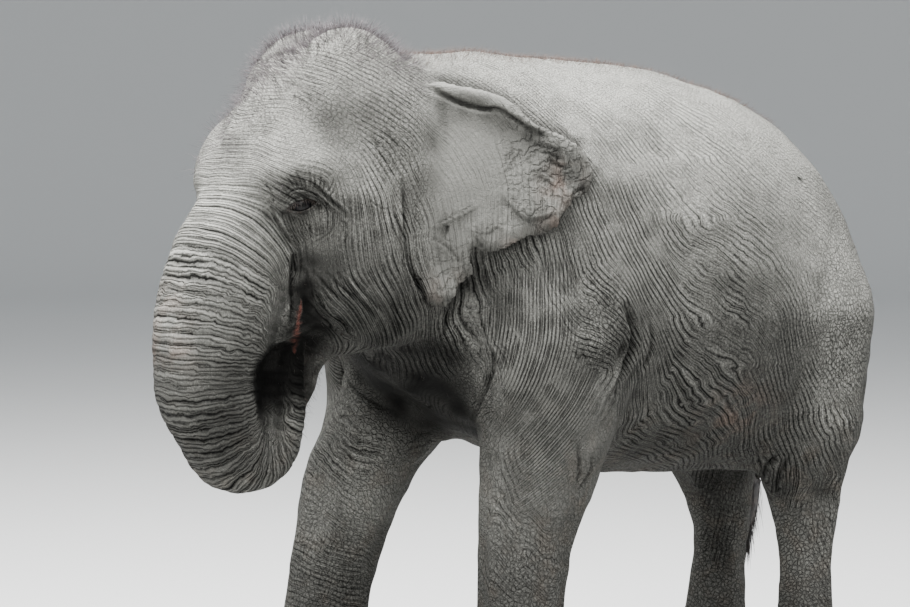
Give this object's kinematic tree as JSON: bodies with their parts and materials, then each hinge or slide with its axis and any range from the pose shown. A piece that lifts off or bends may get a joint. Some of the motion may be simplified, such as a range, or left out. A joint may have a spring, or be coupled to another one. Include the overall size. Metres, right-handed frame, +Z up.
{
  "type": "asian elephant figure",
  "caption": "Life-size standing Asian elephant cow with its trunk curled up to its mouth; a still animal figure that rests on its four feet.",
  "frame": {"origin": "on the ground under the middle of the animal's bounding box", "axes": "+Z up, the animal faces -Y, its left side is +X"},
  "size_m": [1.3342, 3.064, 2.4779],
  "materials": {
    "skin": "matte wrinkled hide",
    "ear_skin": "matte thin hide",
    "trunk_skin": "matte ringed hide",
    "tail_hair": "coarse dark hair",
    "eye": "wet and glossy",
    "nail": "dull horn"
  },
  "bodies": {
    "root": {"trunk_upper": "trunk_skin", "jaw": "skin", "head": "skin", "neck": "skin", "fore_left_upper": "skin", "fore_left_lower": "skin", "fore_left_nail_1": "nail", "fore_left_nail_2": "nail", "fore_left_nail_3": "nail", "fore_left_nail_4": "nail", "fore_left_nail_5": "nail", "fore_left_foot": "skin", "fore_right_upper": "skin", "fore_right_lower": "skin", "fore_right_nail_1": "nail", "fore_right_nail_2": "nail", "fore_right_nail_3": "nail", "fore_right_nail_4": "nail", "fore_right_nail_5": "nail", "fore_right_foot": "skin", "hind_left_upper": "skin", "hind_left_lower": "skin", "hind_left_nail_1": "nail", "hind_left_nail_2": "nail", "hind_left_nail_3": "nail", "hind_left_nail_4": "nail", "hind_left_foot": "skin", "hind_right_upper": "skin", "hind_right_lower": "skin", "hind_right_nail_1": "nail", "hind_right_nail_2": "nail", "hind_right_nail_3": "nail", "hind_right_nail_4": "nail", "hind_right_foot": "skin", "torso_front": "skin", "torso_middle": "skin", "torso_rear": "skin", "trunk_lower": "trunk_skin", "trunk_tip": "trunk_skin", "ear_left": "ear_skin", "ear_right": "ear_skin", "eye_left": "eye", "eye_right": "eye", "tail": "skin", "tail_tuft": "tail_hair"}
  },
  "joints": []
}
